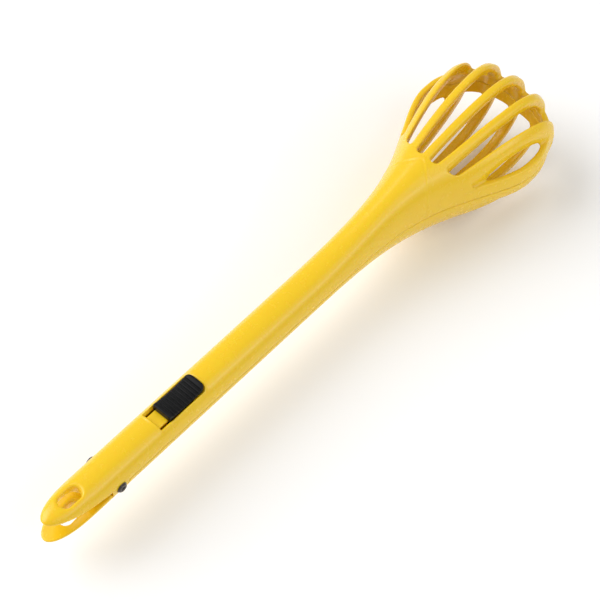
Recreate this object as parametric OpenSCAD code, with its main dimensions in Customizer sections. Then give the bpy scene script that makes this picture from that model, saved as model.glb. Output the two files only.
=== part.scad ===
// Whisk tongs: two half-shell arms on a rivet. Locked shut they are an egg whisk,
// and with the lock slid back a torsion spring opens them as food tongs.
// Each piece is worked out from the tail tip along X, with the parting plane at Z = 0,
// and is then placed so that the origin is below the middle of the closed tool.

/* [Overall] */
// Length from the tail tip to the far end of the cage
overall_l = 284; // [240:1:340]
// Width of the handle
grip_w = 15.9; // [14.5:0.1:19.5]
// Thickness of the closed handle
grip_t = 16.8; // [15.5:0.1:20.5]
// Width of the cage
head_w = 60; // [50:1:72]
// Thickness of the closed cage
head_t = 50; // [40:0.5:60]
// Length over which the handle flares into the cage
flare_l = 110; // [90:1:135]
// Length of the rounded end of the cage, past its widest place
crown_l = 30; // [24:1:36]
// Wall of the half-shells
wall = 2.0; // [1.8:0.1:2.4]
// Gap between the two closed arms
parting_gap = 0.3; // [0.2:0.05:0.6]

/* [Cage] */
// Distance from the far end back to the roots of the tines
tine_l = 62; // [52:1:72]
// Width of one tine
tine_w = 3.8; // [3:0.1:4.6]
// Depth of one tine
tine_d = 4.2; // [3.4:0.1:5]
// Height of the rim above the parting plane
rim_h = 6.5; // [5:0.5:9]
// Thickness of the rim
rim_t = 2.4; // [1.8:0.1:3]

/* [Hinge] */
// Distance from the tail tip to the rivet
pivot_x = 34.5; // [32:0.5:40]
// Diameter of the rivet's shank
pin_d = 3; // [2.4:0.1:3.6]
// Radial clearance of the shank in both arms
pin_play = 0.05; // [0.02:0.01:0.1]
// Diameter of the rivet's head
pin_head_d = 4.4; // [4.2:0.1:6]
// Height of the rivet's head
pin_head_h = 0.9; // [0.6:0.1:1.2]
// Thickness of the washer under the closed end
washer_t = 0.4; // [0.3:0.1:0.6]
// Radius of the hinge ears
ear_r = 4.4; // [4:0.1:4.8]
// Thickness of each inner ear
inner_ear_t = 1.5; // [1.2:0.1:1.8]
// Side play between an inner ear and the outer ear next to it
ear_play = 0.2; // [0.1:0.05:0.4]
// Angle that the arms open to
open_angle = 20; // [14:1:24]

/* [Hanging eye] */
// Length of the eye
eye_l = 10.5; // [8:0.5:13]
// Width of the eye
eye_w = 6; // [4.5:0.5:7.5]
// Distance from the tail tip to the eye
eye_inset = 9.7; // [8:0.1:11]

/* [Spring] */
// Diameter of the spring wire
wire_d = 0.9; // [0.7:0.1:1]
// Mean diameter of the coil
coil_d = 5.8; // [5.2:0.1:6.2]
// Full turns between the two legs
coil_turns = 3; // [2:1:3]
// Length of each leg
leg_l = 18; // [12:1:24]

/* [Lock] */
// Distance from the tail tip to the back of the button
button_x = 64.5; // [62:0.5:84]
// Length of the button
button_l = 20; // [16:0.5:24]
// Width of the button
button_w = 9; // [7.4:0.2:9.4]
// How far the lock slides back
lock_travel = 4.7; // [4:0.1:5.5]
// Height of the button's ends above the handle
button_proud = 1.6; // [1:0.1:2.5]
// Ribs across the button
rib_n = 9; // [5:1:12]

/* [Hidden] */
$fn = 48;
eps = 0.01;

// Outline of the tool
belly_x = overall_l - crown_l;
neck_x = belly_x - flare_l;
palm_x = overall_l - tine_l;
tail_round = 24;
tail_block_l = eye_inset + eye_l + 1.6;
half_gap = parting_gap / 2;
arc_n = 20;
plan_power = 2.5;
side_power = 2.3;

// Hinge
seat_y = grip_w / 2 + 0.05;
bore_r = pin_d / 2 + pin_play;
outer_ear_in = grip_w / 2 - 3.5;
inner_ear_out = outer_ear_in - ear_play;
inner_ear_in = inner_ear_out - inner_ear_t;
seat_play = 0.08;
washer_r = pin_head_d / 2 + 0.15;

// Lock
track_w = button_w + 0.7;
track_x0 = button_x - lock_travel - 0.3;
track_x1 = button_x + button_l + 0.4;
track_z = grip_t / 2 - 1.9;
track_floor_t = 1.7;
leg_t = 0.7;
leg_w = 13;
leg_y = button_w / 2 - 0.6;
leg_x0 = button_x + 0.6;
slot_play = 0.15;
slot_w = leg_t + 2 * slot_play;
plate_top = track_z - track_floor_t - 0.3;
plate_t = 1.6;
plate_w = 2 * leg_y - leg_t - 0.04;
catch_x = button_x + 32;
catch_l = 3.5;
catch_t = 1.6;
catch_z = -0.7;
toe_over = 3;
toe_t = 1.3;
hook_w = 5;
hook_t = 3;
toe_top = catch_z - catch_t - 0.35;

// Moves a piece from the tail tip's frame to the tool's own frame
module placed() translate([-overall_l / 2, 0, head_t / 2]) children();

// A cylinder along Y with its axis on the rivet
module pivot_cylinder(r, y0, y1)
    translate([pivot_x, y1, 0]) rotate([90, 0, 0]) cylinder(r = r, h = y1 - y0);

// The same on both sides
module pivot_pair(r, y0, y1) {
    pivot_cylinder(r, y0, y1);
    pivot_cylinder(r, -y1, -y0);
}

function clamp01(t) = max(0, min(1, t));
function lerp(a, b, t) = a + (b - a) * t;
function unit(v) = v / norm(v);
function signed_pow(v, p) = sign(v) * pow(abs(v), p);
// A rise from 0 to 1 that starts slowly, more slowly with a higher power
function rise(t, p) = let (g = pow(clamp01(t), p)) g * g * (3 - 2 * g);
function flare(x, p) = rise((x - neck_x) / flare_l, p);
// A round fall from 1 to 0
function round_off(t, p) = pow(1 - pow(clamp01(t), p), 1 / p);
function tail_t(x) = (tail_round - x) / tail_round;
function half_w(x) =
    lerp(grip_w, head_w, flare(x, 2.3)) / 2 * round_off(tail_t(x), 2)
        * round_off((x - belly_x) / crown_l, plan_power);
function half_t(x) =
    lerp(grip_t, head_t, flare(x, 1.1)) / 2 * (1 - 0.12 * pow(clamp01(tail_t(x)), 3));
function section_power(x) = lerp(2.3, 2, flare(x, 1));

// One point on the shell's section at x, t degrees round from the right-hand edge
function section_point(x, t, inset) = let (q = 2 / section_power(x)) [
    x,
    -(half_w(x) - inset) * signed_pow(cos(t), q),
    (half_t(x) - inset) * signed_pow(sin(t), q)
];
function half_ring(x, low, inset) = [
    for (i = [0 : arc_n]) let (p = section_point(x, 180 * i / arc_n, inset))
        [p[0], p[1], max(p[2], low)]
];

// Joins rings of points, each with the same count, into one closed solid.
// Each end is closed by a strip of faces between the ring's first half and its second.
// A ring runs counter-clockwise as seen from the solid's far end.
function cap(n, e) = [
    for (j = [0 : ceil(n / 2) - 2]) j + 1 == n - 2 - j
        ? [e + j, e + j + 1, e + n - 1 - j]
        : [e + j, e + j + 1, e + n - 2 - j, e + n - 1 - j]
];
function reversed(v) = [for (i = [len(v) - 1 : -1 : 0]) v[i]];
module skin(rings) {
    n = len(rings[0]);
    m = len(rings);
    polyhedron(
        points = [for (r = rings) each r],
        faces = [
            for (i = [0 : m - 2], j = [0 : n - 1]) let (k = (j + 1) % n)
                each [
                    [i * n + j, (i + 1) * n + j, (i + 1) * n + k],
                    [i * n + j, (i + 1) * n + k, i * n + k]
                ],
            each cap(n, 0),
            for (f = cap(n, (m - 1) * n)) reversed(f)
        ],
        convexity = 8
    );
}

// The half-shell from the tail to the palm, open below
shell_steps = [
    for (t = [0.02, 0.1, 0.22, 0.4, 0.65, 1]) tail_round * t,
    for (t = [0 : 0.125 : 1]) lerp(neck_x, palm_x, t)
];
module half_shell() skin([
    for (x = shell_steps) concat(
        half_ring(x, half_gap, min(wall, half_w(x) - 0.3)),
        reversed(half_ring(x, half_gap, 0))
    )
]);

// The solid end of the tail, round the hanging eye
tail_steps = [for (x = shell_steps) if (x < tail_block_l) x + 0.02];
module tail_block() skin([
    for (x = concat(tail_steps, [tail_block_l]))
        reversed(half_ring(x, half_gap, min(0.1, half_w(x) / 4)))
]);

// The eye, a slot with round ends
module eye() {
    r = eye_w / 2;
    translate([eye_inset + r, 0, -grip_t]) cylinder(r = r, h = 2 * grip_t);
    translate([eye_inset + eye_l - r, 0, -grip_t]) cylinder(r = r, h = 2 * grip_t);
    translate([eye_inset + r, -r, -grip_t]) cube([eye_l - eye_w, eye_w, 2 * grip_t]);
}

// What is cut off the tail so that the arms can open: a wedge below a line through the rivet
module opening_wedge()
    translate([pivot_x, 0, half_gap]) rotate([0, open_angle / 2, 0])
        translate([-overall_l / 4, -grip_w, -grip_t]) cube([overall_l / 4, 2 * grip_w, grip_t]);

// Where a tine lies across the cage, from its root to its tip
tine_root_y = [0, 0.12, 0.23];
tine_tip_y = [0, 0.203, 0.39];
function tine_y(k, x) = sign(k) * head_w * lerp(
    tine_root_y[abs(k)], tine_tip_y[abs(k)],
    1 - pow(1 - clamp01((x - palm_x + 5) / tine_l), 1.6)
);
function dome_z(x, y) = half_t(x) * sqrt(max(0, 1 - pow(y / half_w(x), 2)));
// The middle of a tine's outer face: along the dome, then over the rounded end
function tine_low(k, x) = let (y = tine_y(k, x)) [x, y, dome_z(x, y)];
function tine_end_x(k) =
    belly_x + crown_l * round_off(abs(tine_y(k, overall_l)) / (head_w / 2), plan_power);
function tine_high(k, a) = let (
    x = belly_x + (tine_end_x(k) - 1 - belly_x) * pow(sin(a), 2 / side_power),
    z0 = dome_z(belly_x - eps, tine_y(k, belly_x))
) [x, tine_y(k, x), z0 * pow(cos(a), 2 / side_power)];
function tine_path(k) = [
    for (t = [0 : 0.1 : 0.95]) tine_low(k, lerp(palm_x - 6, belly_x, t)),
    for (a = [0 : 7 : 84]) tine_high(k, a)
];
// Outward direction of the dome at a point
function dome_out(p) = unit(p - [min(p[0], belly_x), 0, 0]);
// A tine's section, eight points round a rectangle with cut corners
function tine_section(w, d) = let (c = 1.1) [
    [-w / 2, -c], [-w / 2 + c, -0.25], [w / 2 - c, -0.25], [w / 2, -c],
    [w / 2, c - d], [w / 2 - c, -d], [-w / 2 + c, -d], [-w / 2, c - d]
];
module sweep(path, section) {
    n = len(path);
    skin([
        for (i = [0 : n - 1]) let (
            t = unit(path[min(i + 1, n - 1)] - path[max(i - 1, 0)]),
            s = unit(cross(t, dome_out(path[i]))),
            u = cross(s, t)
        ) [for (q = section) path[i] + s * q[0] + u * q[1]]
    ]);
}
module tines() for (k = [-2 : 2]) sweep(tine_path(k), tine_section(tine_w, tine_d));

// The rim round the cage: its outline from one side of the palm to the other
function rim_side(x, side) = [x, side * half_w(x)];
function rim_point(a) = [
    belly_x + crown_l * pow(cos(a), 2 / plan_power),
    head_w / 2 * signed_pow(sin(a), 2 / plan_power)
];
rim_back = [for (t = [0 : 0.125 : 0.9]) lerp(palm_x - 7, belly_x, t)];
rim_outline = concat(
    [for (x = rim_back) rim_side(x, -1)],
    [for (a = [-90 : 9 : 90]) let (b = abs(a) > 89.9 ? sign(a) * 89.9 : a) rim_point(b)],
    [for (x = reversed(rim_back)) rim_side(x, 1)]
);
// The rim's section: distance in from the outline, and height
rim_section = [
    [0.2, half_gap], [0.45, rim_h / 2], [1.5, rim_h], [1.5 + rim_t * 0.8, rim_h - 0.4],
    [0.4 + rim_t, rim_h / 2], [0.2 + rim_t, half_gap]
];
module rim() {
    n = len(rim_outline);
    skin([
        for (i = [0 : n - 1]) let (
            d = unit(rim_outline[min(i + 1, n - 1)] - rim_outline[max(i - 1, 0)]),
            inward = [-d[1], d[0]]
        ) [
            for (q = reversed(rim_section)) let (p = rim_outline[i] + inward * q[0])
                [p[0], p[1], q[1]]
        ]
    ]);
}

// The moulding that both arms share, as the upper one
module arm_half() {
    difference() {
        union() {
            half_shell();
            tail_block();
            rim();
            tines();
        }
        opening_wedge();
        eye();
    }
}

// The handle's full outer section over the hinge
module handle_envelope()
    translate([pivot_x - ear_r - 1, 0, 0]) rotate([90, 0, 90]) linear_extrude(2 * ear_r + 2)
        polygon([
            for (i = [0 : 2 * arc_n - 1]) let (p = section_point(pivot_x, 180 * i / arc_n, 0.02))
                [p[1], p[2]]
        ]);

// The plate under the track, and the track cut into it
module track_plate()
    translate([track_x0 - 1.5, -track_w / 2 - 0.35, track_z - track_floor_t])
        cube([track_x1 - track_x0 + 3, track_w + 0.7, track_floor_t]);
module track_cut()
    translate([track_x0, -track_w / 2, track_z])
        cube([track_x1 - track_x0, track_w, grip_t]);
module leg_slots() for (side = [-1, 1])
    translate([track_x0 + 0.2, side * leg_y - slot_w / 2, track_z - 2 * track_floor_t])
        cube([leg_x0 + leg_w + slot_play - track_x0 - 0.2, slot_w, 3 * track_floor_t]);

module upper_arm() color("gold") placed() difference() {
    union() {
        difference() {
            arm_half();
            // room for the inner ears
            pivot_cylinder(ear_r + 0.3, -outer_ear_in, outer_ear_in);
        }
        // outer ears, flush with the handle, with flat seats for the rivet
        intersection() {
            pivot_pair(ear_r, outer_ear_in, grip_w);
            handle_envelope();
        }
        pivot_pair(pin_head_d / 2 + 0.5, outer_ear_in, seat_y);
        track_plate();
    }
    pivot_cylinder(bore_r, -grip_w, grip_w);
    track_cut();
    leg_slots();
}

module lower_arm() color("goldenrod") placed() difference() {
    union() {
        difference() {
            mirror([0, 0, 1]) arm_half();
            // clearance for the outer ears
            pivot_pair(ear_r + 0.3, outer_ear_in - 0.1, grip_w);
        }
        // inner ears, down to the floor of the shell
        pivot_pair(ear_r, inner_ear_in, inner_ear_out);
        for (side = [-1, 1])
            translate([pivot_x - ear_r, side * (inner_ear_in + inner_ear_out) / 2, 0])
                translate([0, -inner_ear_t / 2, 1.2 - grip_t / 2 + wall / 2])
                    cube([2 * ear_r, inner_ear_t, grip_t / 2 - 1.2 - wall / 2]);
        // cross bar that the lock's toe goes under
        translate([catch_x, -grip_w / 2 + wall * 0.8, catch_z - catch_t])
            cube([catch_l, grip_w - wall * 1.6, catch_t]);
    }
    pivot_cylinder(bore_r, -grip_w, grip_w);
}

// The rivet: a domed head on the left, the closed end on the right over the washer
module pivot_rivet() color("dimgray") placed() {
    left = seat_y + seat_play;
    right = seat_y + seat_play + washer_t;
    translate([pivot_x, 0, 0]) rotate([90, 0, 0]) rotate_extrude() polygon([
        [0, -left - pin_head_h], [pin_head_d * 0.3, -left - pin_head_h],
        [pin_head_d / 2, -left - pin_head_h * 0.4], [pin_head_d / 2, -left],
        [pin_d / 2, -left], [pin_d / 2, right], [pin_head_d * 0.45, right],
        [pin_head_d * 0.45, right + 0.3], [pin_head_d * 0.3, right + 0.7], [0, right + 0.5]
    ]);
}

module rivet_washer() color("silver") placed() difference() {
    pivot_cylinder(washer_r, -seat_y - seat_play - washer_t + 0.02, -seat_y - seat_play);
    pivot_cylinder(bore_r, -grip_w, 0);
}

// The torsion spring: a leg under the upper roof, the coil, a leg on the lower floor
coil_pitch = wire_d + 0.2;
coil_half = coil_pitch * (coil_turns + 0.5) / 2;
leg_tip_z = grip_t / 2 - wall - wire_d / 2 - 0.45;
function coil_point(a) = [
    pivot_x - coil_d / 2 * sin(a), -coil_half + coil_pitch * a / 360, coil_d / 2 * cos(a)
];
coil_end = 360 * coil_turns + 180;
spring_path = concat(
    [[pivot_x + leg_l, -coil_half, leg_tip_z], [pivot_x + leg_l / 2, -coil_half, leg_tip_z * 0.74]],
    [for (a = [0 : 20 : coil_end]) coil_point(a)],
    [[pivot_x + leg_l / 2, coil_half, -leg_tip_z * 0.74], [pivot_x + leg_l, coil_half, -leg_tip_z]]
);
module torsion_spring() color("lightgray") placed() {
    n = len(spring_path);
    skin([
        for (i = [0 : n - 1]) let (
            t = unit(spring_path[min(i + 1, n - 1)] - spring_path[max(i - 1, 0)]),
            s = unit(cross(t, [0, 1, 0])),
            u = cross(s, t)
        ) [for (a = [0 : 45 : 315]) spring_path[i] + (s * cos(a) - u * sin(a)) * wire_d / 2]
    ]);
}

// The thumb button: a plate with round front corners, a hollow top and ribs, on two legs
module lock_button() color("black") placed() {
    top_z = grip_t / 2 + button_proud;
    base_z = track_z + 0.15;
    hollow_r = 34;
    difference() {
        translate([button_x, 0, base_z]) linear_extrude(top_z - base_z) union() {
            translate([0, -button_w / 2]) square([button_l - 2.2, button_w]);
            translate([0, -button_w / 2 + 2.2]) square([button_l, button_w - 4.4]);
            for (side = [-1, 1])
                translate([button_l - 2.2, side * (button_w / 2 - 2.2)]) circle(r = 2.2);
        }
        translate([button_x + button_l / 2, button_w, top_z + hollow_r - 1.3])
            rotate([90, 0, 0]) cylinder(r = hollow_r, h = 2 * button_w, $fn = 96);
        for (i = [0 : rib_n])
            translate([button_x + button_l * (0.1 + 0.75 * i / rib_n), -button_w, top_z - 1.75])
                cube([0.8, 2 * button_w, 2]);
    }
    for (side = [-1, 1])
        translate([leg_x0, side * leg_y - leg_t / 2, plate_top - plate_t - 0.5])
            cube([leg_w, leg_t, base_z - plate_top + plate_t + 1]);
}

// The plate held between the button's legs, with the hook that goes under the catch
module lock_hook() color("dimgray") placed() {
    hook_x = catch_x - 1 - hook_t;
    translate([leg_x0 - 0.5, -plate_w / 2, plate_top - plate_t])
        cube([hook_x + hook_t - leg_x0 + 0.5, plate_w, plate_t]);
    translate([hook_x, -hook_w / 2, toe_top - toe_t])
        cube([hook_t, hook_w, plate_top - plate_t / 2 - toe_top + toe_t]);
    translate([hook_x, -hook_w / 2, toe_top - toe_t])
        cube([hook_t + 1 + toe_over, hook_w, toe_t]);
}

upper_arm();
lower_arm();
pivot_rivet();
rivet_washer();
torsion_spring();
lock_button();
lock_hook();
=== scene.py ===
import bpy, itertools, math
import numpy as np
from mathutils import Matrix, Vector


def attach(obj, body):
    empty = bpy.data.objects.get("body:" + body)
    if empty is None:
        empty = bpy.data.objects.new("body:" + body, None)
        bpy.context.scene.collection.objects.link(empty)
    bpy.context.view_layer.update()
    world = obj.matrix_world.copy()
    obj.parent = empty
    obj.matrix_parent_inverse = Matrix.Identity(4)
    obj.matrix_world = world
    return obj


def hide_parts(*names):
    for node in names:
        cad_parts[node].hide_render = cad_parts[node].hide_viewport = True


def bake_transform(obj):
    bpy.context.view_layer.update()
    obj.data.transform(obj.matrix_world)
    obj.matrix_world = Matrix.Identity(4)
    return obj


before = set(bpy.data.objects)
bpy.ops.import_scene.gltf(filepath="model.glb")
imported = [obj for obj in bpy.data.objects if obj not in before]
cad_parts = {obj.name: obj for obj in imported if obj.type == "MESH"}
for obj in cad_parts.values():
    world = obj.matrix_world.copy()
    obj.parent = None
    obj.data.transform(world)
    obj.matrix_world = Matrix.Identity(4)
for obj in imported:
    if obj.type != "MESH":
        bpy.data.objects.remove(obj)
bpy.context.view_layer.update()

# Sizes in mm, in the tail frame: X from the tail tip, Y across, Z = 0 on the parting plane.
# the closed tool
LEN, GRIP_W, GRIP_T, HEAD_W, HEAD_T = 284.0, 15.9, 16.8, 60.0, 50.0
BELLY = 254.0                  # where the head is widest
CROWN = 30.0                   # from there to the far end
FLARE = 110.0                  # from the grip to the widest place
NECK = BELLY - FLARE
PALM = 222.0                   # where the palm ends and the gaps between the tines start
TAIL = 24.0                    # length of the rounded tail
WALL = 2.0
GAP = 0.15                     # from the parting plane to each arm
WEDGE_ANGLE = math.radians(10) # taken off each tail, which lets the arms open
WITNESS_W = 17                 # half width of the moulded line across the palm

# the tines and the rim that joins their tips
TINE_W, TINE_DEPTH, TINE_ROUND = 3.7, 4.2, 1.25
TINE_ROOT, TINE_TIP = (0, 0.12, 0.23), (0, 0.203, 0.39)   # share of the head's width
TINE_START, TINE_RUN = 219, 60
RIM_H, RIM_T, RIM_BACK, RIM_START = 6.5, 2.55, 1.3, 209

# the hinge
PIVOT = 34.5
EAR_R, EAR_GAP = 4.4, 0.3
EAR_IN = GRIP_W / 2 - 3.5
INNER_OUT = EAR_IN - 0.2
INNER_IN = INNER_OUT - 1.5
BORE_R, BOSS_R = 1.55, 2.7
SEAT = GRIP_W / 2 + 0.05

# the lock: button, track and the lower arm's bar
BUTTON_X, BUTTON_L, BUTTON_W = 64.5, 20.0, 9.0
TRACK0, TRACK1 = BUTTON_X - 5.0, BUTTON_X + BUTTON_L + 0.4
TRACK_Z = GRIP_T / 2 - 1.9
TRACK_W = BUTTON_W + 0.7
LEG_Y = BUTTON_W / 2 - 0.6
RIBS = 9
CATCH, CATCH_L = BUTTON_X + 32, 3.5

# the hanging eye
EYE0, EYE_L, EYE_W = 9.7, 10.5, 6.0

# grids: size of a cell, and how far along X the hinge and lock details reach
ARM_CELL, BUTTON_CELL = 0.42, 0.14
UPPER_REACH, LOWER_REACH = 100, 110


def to_row(v):
    """Tail frame in mm to the row frame in metres."""
    v = np.asarray(v, dtype=float)
    return np.stack([v[:, 0] - LEN / 2, v[:, 1], v[:, 2] + HEAD_T / 2], 1) / 1000


def rise(t, p):
    """A smooth step from 0 to 1, which starts later as p grows."""
    g = np.clip(t, 0, 1) ** p
    return g * g * (3 - 2 * g)


def smin(a, b, k):
    """The smaller of two distances, blended over k where they meet."""
    h = np.clip(0.5 + 0.5 * (b - a) / k, 0, 1)
    return b + (a - b) * h - k * h * (1 - h)


def smax(a, b, k):
    return -smin(-a, -b, k)


def rounded(a, b, r):
    """Distance to a corner between two faces, at distances a and b, rounded by r."""
    a, b = a + r, b + r
    return np.sqrt(np.maximum(a, 0) ** 2 + np.maximum(b, 0) ** 2) + np.minimum(np.maximum(a, b), 0) - r


def block(X, Y, Z, lo, hi, r=0.0):
    """Distance to a box, with its edges rounded by r."""
    d = [np.abs(v - (a + b) / 2) - (b - a) / 2 + r for v, a, b in zip((X, Y, Z), lo, hi)]
    out = np.sqrt(sum(np.maximum(q, 0) ** 2 for q in d))
    return out + np.minimum(np.maximum(np.maximum(d[0], d[1]), d[2]), 0) - r


def y_pin(X, Y, Z, r, y0, y1):
    """A cylinder along Y on the rivet's axis, on both sides of the middle plane."""
    c = np.sqrt((X - PIVOT) ** 2 + Z ** 2) - r
    return np.maximum(c, np.abs(np.abs(Y) - (y0 + y1) / 2) - (y1 - y0) / 2)


def tine_y(k, x):
    """Y of the middle of tine k, from -2 to 2, as the tines fan out along X."""
    root, tip = TINE_ROOT[abs(k)], TINE_TIP[abs(k)]
    e = 1 - (1 - np.clip((x - TINE_START) / TINE_RUN, 0, 1)) ** 1.6
    return np.sign(k) * HEAD_W * (root + (tip - root) * e)


def dome(X, Y, Z):
    """Distance to the closed tool's outer surface, measured towards its middle.

    Each cross-section is a superellipse, and the two ends are rounded in plan by another one.
    """
    back, front = np.clip(TAIL - X, 0, None), np.clip(X - BELLY, 0, None)
    W = (GRIP_W + (HEAD_W - GRIP_W) * rise((X - NECK) / FLARE, 2.3)) / 2
    T = (GRIP_T + (HEAD_T - GRIP_T) * rise((X - NECK) / FLARE, 1.1)) / 2
    e = np.where(X < TAIL, back / TAIL, front / CROWN)
    pw = np.where(X < TAIL, 2.0, 2.5)
    q = ((np.abs(Y) / W) ** pw + e ** pw) ** (1 / pw) + 1e-6
    s = 2.3 - 0.3 * rise((X - NECK) / FLARE, 1) + 0.3 * np.minimum(1, e / q) ** 2 * (X > BELLY)
    s = s + 4 * np.minimum(1, e / q) ** 2 * (X < TAIL)
    g = (q ** s + (np.abs(Z) / T) ** s) ** (1 / s) + 1e-6
    r = np.sqrt(back ** 2 + front ** 2 + Y ** 2 + Z ** 2)
    return r * (1 - 1 / g)


def arm_field(X, Y, Z):
    """One arm's moulding as the upper one, negative inside."""
    f = dome(X, Y, Z)
    # the faint moulded line across the palm, a low ridge with a dip behind it
    line = X - (218 - 0.83 * np.abs(Y))
    across = np.abs(Y) < WITNESS_W
    ridge = 0.13 * np.exp(-(line / 0.5) ** 2) * across
    f = f - ridge + 0.07 * np.exp(-((line + 1.1) / 0.5) ** 2) * across
    # the shell from the tail to the palm, which ends in an arc
    palm_edge = (X - (PALM - 3.6) - 0.027 * Y ** 2) * 0.85
    palm = np.maximum(np.maximum(f, -(f + WALL)), palm_edge)
    # the rim sits back from the tines round the far end
    dip = RIM_BACK * rise((X - BELLY - 4) / 14, 1) + 0.15
    rim = np.maximum(f + dip, -(f + dip + RIM_T))
    rim = smax(rim, Z - RIM_H, 0.9)
    body = smin(smax(palm, -X, 0.1), np.maximum(rim, RIM_START - X), 0.9)
    for k in range(-2, 3):
        x1 = X[:, 0, 0]
        ty = tine_y(k, x1)
        cosine = 1 / np.sqrt(1 + np.gradient(ty, x1) ** 2)
        w = TINE_W + 0.5 * rise((PALM + 10 - x1) / 22, 1) + 0.5 * rise((x1 - 266) / 16, 1)
        a = np.abs(Y - ty[:, None, None]) * cosine[:, None, None] - w[:, None, None] / 2
        b = np.abs(f + TINE_DEPTH / 2) - TINE_DEPTH / 2
        tine = rounded(a, b, TINE_ROUND)
        body = smin(body, np.maximum(tine, PALM - 9 - X), 1.5)
    body = np.maximum(body, f)
    # the tail is solid round the eye, up to the ears
    tail = np.maximum(f, X - (PIVOT - 5.5))
    body = smin(body, tail, 0.8)
    body = np.maximum(body, f)
    # parting face, and the wedge off the tail that lets the arms open
    body = smax(body, GAP - Z, 0.5)
    wedge = (Z - GAP) * math.cos(WEDGE_ANGLE) - (PIVOT - X) * math.sin(WEDGE_ANGLE)
    body = np.where(X < PIVOT, smax(body, -wedge, 0.5), body)
    slot = np.maximum(np.abs(X - EYE0 - EYE_L / 2) - (EYE_L - EYE_W) / 2, 0)
    eye = np.sqrt(slot ** 2 + Y ** 2) - EYE_W / 2
    return smax(body, -eye, 1.5)


def upper_field(X, Y, Z):
    """The upper arm: outer ears on the rivet, and the recessed track of the lock."""
    F = arm_field(X, Y, Z)
    n = int(np.searchsorted(X[:, 0, 0], UPPER_REACH))
    X, f = X[:n], F[:n]
    f = np.maximum(f, -y_pin(X, Y, Z, EAR_R + EAR_GAP, -EAR_IN, EAR_IN))
    ear = np.maximum(y_pin(X, Y, Z, EAR_R, EAR_IN, GRIP_W), dome(np.full_like(X, PIVOT), Y, Z))
    f = smin(f, ear, 0.12)
    f = np.minimum(f, y_pin(X, Y, Z, BOSS_R, EAR_IN, SEAT))
    f = np.maximum(f, -y_pin(X, Y, Z, BORE_R, -GRIP_W, GRIP_W))
    skin = dome(X, Y, Z)
    # the track's floor
    half_w = TRACK_W / 2 + 0.35
    plate = block(X, Y, Z, (TRACK0 - 1.5, -half_w, TRACK_Z - 1.7), (TRACK1 + 1.5, half_w, TRACK_Z), 0.2)
    f = smin(f, plate, 0.4)
    # the recess, with a low rounded lip round it
    a = np.abs(X - (TRACK0 + TRACK1) / 2) - (TRACK1 - TRACK0) / 2
    b = np.abs(Y) - TRACK_W / 2
    corner = np.where(X > BUTTON_X, 2.5, 0.6)
    outline = rounded(a, b, corner)
    pit = np.maximum(outline, TRACK_Z - Z)
    ring = np.maximum(np.abs(skin), outline - 0.6) - 0.2
    ring = np.maximum(ring, 3 - Z)
    f = smin(f, ring, 0.5)
    f = smax(f, -pit, 0.45)
    # the two slots for the button's legs
    for y in (-LEG_Y, LEG_Y):
        f = np.maximum(f, -block(X, Y, Z, (TRACK0 + 0.2, y - 0.5, 2), (BUTTON_X + 13.75, y + 0.5, 9), 0.1))
    F[:n] = f
    return F


def lower_field(X, Y, Z):
    """The lower arm, drawn as an upper one: inner ears on the rivet, and the bar for the hook."""
    F = arm_field(X, Y, Z)
    n = int(np.searchsorted(X[:, 0, 0], LOWER_REACH))
    X, f = X[:n], F[:n]
    f = np.maximum(f, -y_pin(X, Y, Z, EAR_R + EAR_GAP, EAR_IN - 0.1, GRIP_W))
    ear = y_pin(X, Y, Z, EAR_R, INNER_IN, INNER_OUT)
    web_top = GRIP_T / 2 - 1.5
    web = block(X, np.abs(Y), Z, (PIVOT - EAR_R, INNER_IN, 0), (PIVOT + EAR_R, INNER_OUT, web_top))
    f = smin(f, np.minimum(ear, web), 0.3)
    bar = block(X, Y, Z, (CATCH, -GRIP_W / 2, 0.7), (CATCH + CATCH_L, GRIP_W / 2, 2.3), 0.2)
    f = np.minimum(f, np.maximum(bar, dome(X, Y, Z) + 0.8))
    f = np.maximum(f, -y_pin(X, Y, Z, BORE_R, -GRIP_W, GRIP_W))
    F[:n] = f
    return F


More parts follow.
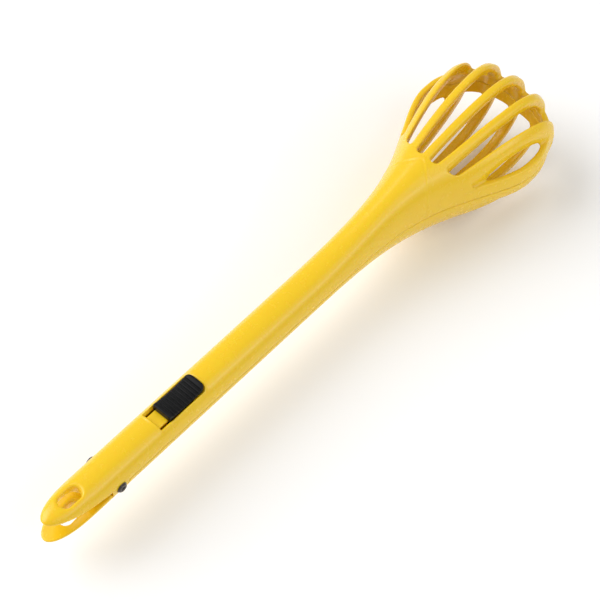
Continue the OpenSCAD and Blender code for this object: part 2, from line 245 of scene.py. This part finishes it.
def net(F, lo, h):
    """The surface F = 0 as a mesh of quads: one vertex in each cell that it crosses."""
    shape = np.array(F.shape)
    cells = shape - 1
    total, count = np.zeros((int(np.prod(cells)), 3)), np.zeros(int(np.prod(cells)))
    inside = F < 0
    faces = []
    for ax in range(3):
        s0, s1 = [slice(None)] * 3, [slice(None)] * 3
        s0[ax], s1[ax] = slice(0, -1), slice(1, None)
        i = np.argwhere(inside[tuple(s0)] != inside[tuple(s1)])
        j = i.copy()
        j[:, ax] += 1
        a, b = F[tuple(i.T)], F[tuple(j.T)]
        p = i.astype(float)
        p[:, ax] += a / (a - b)
        # the four cells round each crossed edge make one quad
        u, v = (ax + 1) % 3, (ax + 2) % 3
        quad, whole = [], np.ones(len(i), bool)
        for du, dv in ((0, 0), (-1, 0), (-1, -1), (0, -1)):
            c = i.copy()
            c[:, u] += du
            c[:, v] += dv
            ok = ((c >= 0) & (c < cells)).all(1)
            whole &= ok
            n = np.ravel_multi_index(np.clip(c, 0, cells - 1).T, cells)
            for d in range(3):
                total[:, d] += np.bincount(n[ok], p[ok, d], len(count))
            count += np.bincount(n[ok], None, len(count))
            quad.append(n)
        q = np.stack(quad, 1)[whole]
        flip = (a < 0)[whole]
        q[~flip] = q[~flip][:, ::-1]
        faces.append(q)
    faces = np.concatenate(faces)
    used = np.unique(faces)
    at = total[used] / count[used][:, None]
    # settle each vertex on the surface in two steps, each of at most 0.4 of a cell
    for _ in range(2):
        g = np.clip(np.floor(at).astype(int), 0, cells - 1)
        w = at - g
        val, grad = 0, np.zeros((len(at), 3))
        for dx, dy, dz in itertools.product((0, 1), repeat=3):
            c = F[g[:, 0] + dx, g[:, 1] + dy, g[:, 2] + dz]
            wx, wy, wz = (w[:, k] if on else 1 - w[:, k] for k, on in enumerate((dx, dy, dz)))
            val = val + c * wx * wy * wz
            slope = [(2 * dx - 1) * wy * wz, (2 * dy - 1) * wx * wz, (2 * dz - 1) * wx * wy]
            grad += c[:, None] * np.stack(slope, 1)
        move = -val[:, None] * grad / np.maximum((grad ** 2).sum(1), 1e-6)[:, None]
        size = np.linalg.norm(move, axis=1)[:, None]
        at = at + move * np.minimum(1, 0.4 / np.maximum(size, 1e-9))
    index = np.zeros(len(count), int)
    index[used] = np.arange(len(used))
    return at * h + np.array(lo), index[faces]


def mesh(name, verts, faces, slot, body=None):
    """A smooth-shaded piece from points in the tail frame; it rides on body, if there is one."""
    me = bpy.data.meshes.new(name)
    faces = faces.tolist() if hasattr(faces, "tolist") else faces
    me.from_pydata(to_row(verts).tolist(), [], faces)
    me.update()
    me.shade_smooth()
    ob = bpy.data.objects.new(name, me)
    bpy.context.collection.objects.link(ob)
    me.materials.append(MATS[slot])
    if body:
        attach(ob, body)
    return ob


def grid(lo, hi, h):
    """X, Y and Z of the grid's points, each shaped to broadcast against the others."""
    ax = [np.arange(a, b + h, h) for a, b in zip(lo, hi)]
    return ax[0][:, None, None], ax[1][None, :, None], ax[2][None, None, :]


def carve(name, field, lo, hi, h, slot, body, flip=False):
    """A piece from a distance field; flip turns it over to the other side of the parting plane."""
    F = field(*grid(lo, hi, h))
    v, q = net(F, lo, h)
    if flip:
        v[:, 2] *= -1
        q = q[:, ::-1]
    return mesh(name, v, q, slot, body)


def lathe(name, profile, slot, body, n=64):
    """Turns (radius, y) points round the rivet's axis; profile ends on the axis at both ends."""
    v, f = [], []
    for i in range(n):
        a = 2 * math.pi * i / n
        v += [(PIVOT + r * math.cos(a), y, r * math.sin(a)) for r, y in profile]
    m = len(profile)
    for i in range(n):
        j = (i + 1) % n
        f += [(i * m + k, i * m + k + 1, j * m + k + 1, j * m + k) for k in range(m - 1)]
    return mesh(name, v, f, slot, body)


# ---------------------------------------------------------------- materials
def nodes_of(name):
    """A new material, its node tree and its shader."""
    m = bpy.data.materials.new(name)
    m.use_nodes = True
    nt = m.node_tree
    return m, nt, nt.nodes["Principled BSDF"]


def noise(nt, scale, detail=2.0, rough=0.5, stretch=(1, 1, 1)):
    """Noise in object space, in metres."""
    co = nt.nodes.new("ShaderNodeTexCoord")
    mp = nt.nodes.new("ShaderNodeMapping")
    mp.inputs["Scale"].default_value = stretch
    n = nt.nodes.new("ShaderNodeTexNoise")
    n.inputs["Scale"].default_value = scale
    n.inputs["Detail"].default_value = detail
    n.inputs["Roughness"].default_value = rough
    nt.links.new(co.outputs["Object"], mp.inputs["Vector"])
    nt.links.new(mp.outputs["Vector"], n.inputs["Vector"])
    return n.outputs["Fac"]


def ramp(nt, fac, stops):
    """Colours at positions along fac."""
    r = nt.nodes.new("ShaderNodeValToRGB")
    els = r.color_ramp.elements
    while len(els) < len(stops):
        els.new(0.5)
    for e, (pos, col) in zip(els, stops):
        e.position = pos
        e.color = (*col, 1)
    nt.links.new(fac, r.inputs["Fac"])
    return r.outputs["Color"]


def span(nt, fac, lo, hi):
    """fac from 0.3 to 0.7 as a value from lo to hi."""
    m = nt.nodes.new("ShaderNodeMapRange")
    m.inputs["From Min"].default_value = 0.3
    m.inputs["From Max"].default_value = 0.7
    m.inputs["To Min"].default_value = lo
    m.inputs["To Max"].default_value = hi
    nt.links.new(fac, m.inputs["Value"])
    return m.outputs["Result"]


def bump(nt, bsdf, fac, strength, distance, after=None):
    """Bump from fac, on top of the bump given as after."""
    b = nt.nodes.new("ShaderNodeBump")
    b.inputs["Strength"].default_value = strength
    b.inputs["Distance"].default_value = distance
    nt.links.new(fac, b.inputs["Height"])
    if after:
        nt.links.new(after, b.inputs["Normal"])
    nt.links.new(b.outputs["Normal"], bsdf.inputs["Normal"])
    return b.outputs["Normal"]


def yellow_plastic():
    m, nt, b = nodes_of("yellow_plastic")
    broad = noise(nt, 22, 2, 0.5, (0.35, 1, 1))
    colour = ramp(nt, broad, [(0.3, (0.83, 0.535, 0.006)), (0.7, (0.85, 0.555, 0.009))])
    nt.links.new(colour, b.inputs["Base Color"])
    nt.links.new(span(nt, noise(nt, 380, 3), 0.22, 0.29), b.inputs["Roughness"])
    b.inputs["Subsurface Weight"].default_value = 0.2
    b.inputs["Subsurface Radius"].default_value = (1.0, 0.55, 0.08)
    b.inputs["Subsurface Scale"].default_value = 0.0025
    b.inputs["IOR"].default_value = 1.52
    wave = bump(nt, b, noise(nt, 55, 1, 0.4, (0.5, 1, 1)), 0.10, 0.0006)
    bump(nt, b, noise(nt, 1400, 2), 0.02, 0.0001, wave)
    return m


def black_plastic():
    m, nt, b = nodes_of("black_plastic")
    colour = ramp(nt, noise(nt, 500, 3), [(0.3, (0.003, 0.003, 0.0035)), (0.7, (0.006, 0.006, 0.0065))])
    nt.links.new(colour, b.inputs["Base Color"])
    nt.links.new(span(nt, noise(nt, 900, 2), 0.38, 0.50), b.inputs["Roughness"])
    b.inputs["Specular IOR Level"].default_value = 0.22
    bump(nt, b, noise(nt, 3500, 3), 0.2, 0.0001)
    return m


def metal(name, dark, light, r0, r1, stretch, scale):
    """Metal with fine marks, in colour from dark to light and in roughness from r0 to r1."""
    m, nt, b = nodes_of(name)
    lines = noise(nt, scale, 3, 0.6, stretch)
    nt.links.new(ramp(nt, lines, [(0.3, dark), (0.7, light)]), b.inputs["Base Color"])
    b.inputs["Metallic"].default_value = 1.0
    nt.links.new(span(nt, lines, r0, r1), b.inputs["Roughness"])
    bump(nt, b, lines, 0.15, 0.0001)
    return m


MATS = {
    "yellow_plastic": yellow_plastic(),
    "black_plastic": black_plastic(),
    "dark_nickel_steel": metal(
        "dark_nickel_steel", (0.09, 0.082, 0.075), (0.17, 0.155, 0.145), 0.22, 0.36, (1, 0.2, 1), 900),
    "spring_steel": metal(
        "spring_steel", (0.42, 0.42, 0.43), (0.62, 0.62, 0.63), 0.22, 0.34, (1, 1, 1), 1200),
}

# ---------------------------------------------------------------- the two arms
LO, HI = (-0.9, -30.9, -5.2), (285.0, 31.0, 26.0)
upper = carve("upper_arm_shell", upper_field, LO, HI, ARM_CELL, "yellow_plastic", "upper")
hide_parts("upper_arm")
lower = carve("lower_arm_shell", lower_field, LO, HI, ARM_CELL, "yellow_plastic", "lower", flip=True)
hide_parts("lower_arm")


# ---------------------------------------------------------------- lock
def button_field(X, Y, Z):
    """The button, with a hollow top, larger corners in front and two legs."""
    x, half = X - BUTTON_X, BUTTON_L / 2
    corner = np.where(x > half, 2.2, 0.7)
    plan = rounded(np.abs(x - half) - half, np.abs(Y) - BUTTON_W / 2, corner)
    top = np.minimum(9.5, 8.3 + (x - half) ** 2 / 68) - 0.012 * Y ** 2
    f = smax(np.maximum(plan, TRACK_Z + 0.15 - Z), Z - top, 0.55)
    # ribs across the button: rounded grooves that follow its hollow top
    pitch = 0.083 * BUTTON_L
    phase = (x - 0.12 * BUTTON_L) / pitch
    near = np.abs(phase - np.round(np.clip(phase, 0, RIBS))) * pitch
    groove = np.sqrt(near ** 2 + ((Z - top - 0.05) * 0.62) ** 2) - 0.42
    f = smax(f, -groove, 0.2)
    for y in (-LEG_Y, LEG_Y):
        leg = block(X, Y, Z, (BUTTON_X + 0.6, y - 0.35, 2.4), (BUTTON_X + 13.6, y + 0.35, 7.5), 0.12)
        f = smin(f, leg, 0.15)
    return f


button = carve("lock_button_ribbed", button_field, (64.0, -5.0, 1.9), (85.2, 5.1, 10.6),
               BUTTON_CELL, "black_plastic", "lock")
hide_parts("lock_button")

# the hook keeps its CAD shape
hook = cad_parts["lock_hook"]
hook.data.materials.clear()
hook.data.materials.append(MATS["black_plastic"])

# ---------------------------------------------------------------- hinge
# Profiles are (radius, Y). The rivet has a domed head on the left and a rolled, hollow end on the right.
HEAD_Y, END_Y = SEAT + 0.08, SEAT + 0.48
domed = [(0, 0.90), (0.7, 0.89), (1.3, 0.82), (1.75, 0.68), (2.05, 0.48), (2.19, 0.25), (2.2, 0.08),
         (2.14, 0.01), (1.52, 0), (1.5, -0.05)]
rolled = [(1.5, 0), (1.9, 0), (1.98, 0.08), (1.99, 0.25), (1.9, 0.45), (1.7, 0.62), (1.45, 0.69),
          (1.22, 0.64), (1.08, 0.48), (1.02, 0.1), (0.98, -0.3), (0.6, -0.42), (0, -0.45)]
rivet = lathe("rivet_tubular", [(r, HEAD_Y + y) for r, y in domed] + [(r, -END_Y - y) for r, y in rolled],
              "dark_nickel_steel", "lower")
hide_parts("pivot_rivet")
washer = lathe("rivet_washer_ring", [
    (1.55, -HEAD_Y - 0.02), (2.28, -HEAD_Y - 0.02), (2.35, -HEAD_Y - 0.08), (2.35, -END_Y + 0.10),
    (2.27, -END_Y + 0.02), (1.62, -END_Y + 0.02), (1.55, -END_Y + 0.08), (1.55, -HEAD_Y - 0.02)],
    "dark_nickel_steel", "lower")
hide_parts("rivet_washer")


def torsion_spring():
    """A wire coil round the rivet, with a leg along the inside of each arm and a bent tip."""
    turns, pitch, wire, r = 3.5, 1.1, 0.45, 2.9
    leg, steps, n = 18, 14, 120
    half = pitch * turns / 2
    tip = GRIP_T / 2 - WALL - 0.9
    coil = []
    for i in range(n + 1):
        a = 2 * math.pi * turns * i / n
        coil.append((PIVOT - r * math.sin(a), -half + 2 * half * i / n, r * math.cos(a)))
    first = [(PIVOT + leg * (1 - i / steps), -half, tip + (r - tip) * (i / steps) ** 1.6)
             for i in range(steps)]
    last = [(PIVOT + leg * i / steps, half, -r - (tip - r) * (1 - (1 - i / steps) ** 1.6))
            for i in range(1, steps + 1)]
    bend = PIVOT + leg + 0.3
    path = np.array([(bend, -half, tip - 0.5)] + first + coil + last + [(bend, half, 0.5 - tip)])
    # a ring of k points round each point of the path, and a fan over each end
    tan = np.gradient(path, axis=0)
    tan /= np.linalg.norm(tan, axis=1)[:, None]
    side = np.cross(tan, (0, 1, 0))
    side /= np.linalg.norm(side, axis=1)[:, None]
    up = np.cross(side, tan)
    k = 12
    ang = np.arange(k) * 2 * math.pi / k
    cos, sin = np.cos(ang)[None, :, None], np.sin(ang)[None, :, None]
    rings = path[:, None] + wire * (side[:, None] * cos + up[:, None] * sin)
    v = rings.reshape(-1, 3).tolist() + [path[0].tolist(), path[-1].tolist()]
    m = len(path)
    pairs = [(j, (j + 1) % k) for j in range(k)]
    f = [(i * k + j, i * k + q, (i + 1) * k + q, (i + 1) * k + j) for i in range(m - 1) for j, q in pairs]
    f += [(q, j, m * k) for j, q in pairs]
    f += [((m - 1) * k + j, (m - 1) * k + q, m * k + 1) for j, q in pairs]
    return mesh("torsion_spring_wire", v, f, "spring_steel")


spring = torsion_spring()
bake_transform(spring)
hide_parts("torsion_spring")

# ---------------------------------------------------------------- floor, light and camera
FLOOR = 4
floor_mat, nt, b = nodes_of("pale_floor")
pale = ramp(nt, noise(nt, 3, 2), [(0.3, (0.96, 0.96, 0.96)), (0.7, (0.98, 0.98, 0.98))])
nt.links.new(pale, b.inputs["Base Color"])
b.inputs["Roughness"].default_value = 0.9
b.inputs["Specular IOR Level"].default_value = 0.1
me = bpy.data.meshes.new("floor")
corners = [(-FLOOR, -FLOOR, 0), (FLOOR, -FLOOR, 0), (FLOOR, FLOOR, 0), (-FLOOR, FLOOR, 0)]
me.from_pydata(corners, [], [(0, 1, 2, 3)])
me.materials.append(floor_mat)
floor = bpy.data.objects.new("floor", me)
bpy.context.collection.objects.link(floor)


def area(name, at, look, size, power, size_y=None):
    """A white rectangular light at one point, turned towards another."""
    L = bpy.data.lights.new(name, "AREA")
    L.shape = "RECTANGLE"
    L.size, L.size_y = size, size_y or size
    L.energy = power
    o = bpy.data.objects.new(name, L)
    o.location = at
    o.rotation_euler = (Vector(look) - Vector(at)).to_track_quat("-Z", "Y").to_euler()
    bpy.context.collection.objects.link(o)


area("key", (-0.5, 0.9, 0.9), (0, 0, 0.02), 1.3, 17)
area("strip", (0.45, -0.75, 0.64), (0, 0, 0.02), 1.1, 1.3, size_y=0.09)
area("fill", (0.2, -1.1, 1.0), (0, 0, 0), 1.4, 5)
world = bpy.data.worlds.new("studio")
bpy.context.scene.world = world
world.use_nodes = True
sky = world.node_tree.nodes["Background"]
sky.inputs["Color"].default_value = (1, 1, 1, 1)
sky.inputs["Strength"].default_value = 0.50

cam = bpy.data.cameras.new("camera")
cam.sensor_width, cam.lens, cam.shift_x, cam.shift_y = 36, 164.04, 0.0017, -0.0041
co = bpy.data.objects.new("camera", cam)
aim = Vector((0.002, 0, HEAD_T / 2000))
distance = 1.073
back, up = Vector((-0.4459, -0.3316, 0.8314)).normalized(), Vector((0.6048, 0.5730, 0.5530))
right = up.cross(back).normalized()
co.location = aim + distance * back
co.rotation_euler = Matrix((right, back.cross(right), back)).transposed().to_euler()
bpy.context.collection.objects.link(co)
bpy.context.scene.camera = co

# the default transform pales strong yellows
bpy.context.scene.view_settings.view_transform = "Standard"
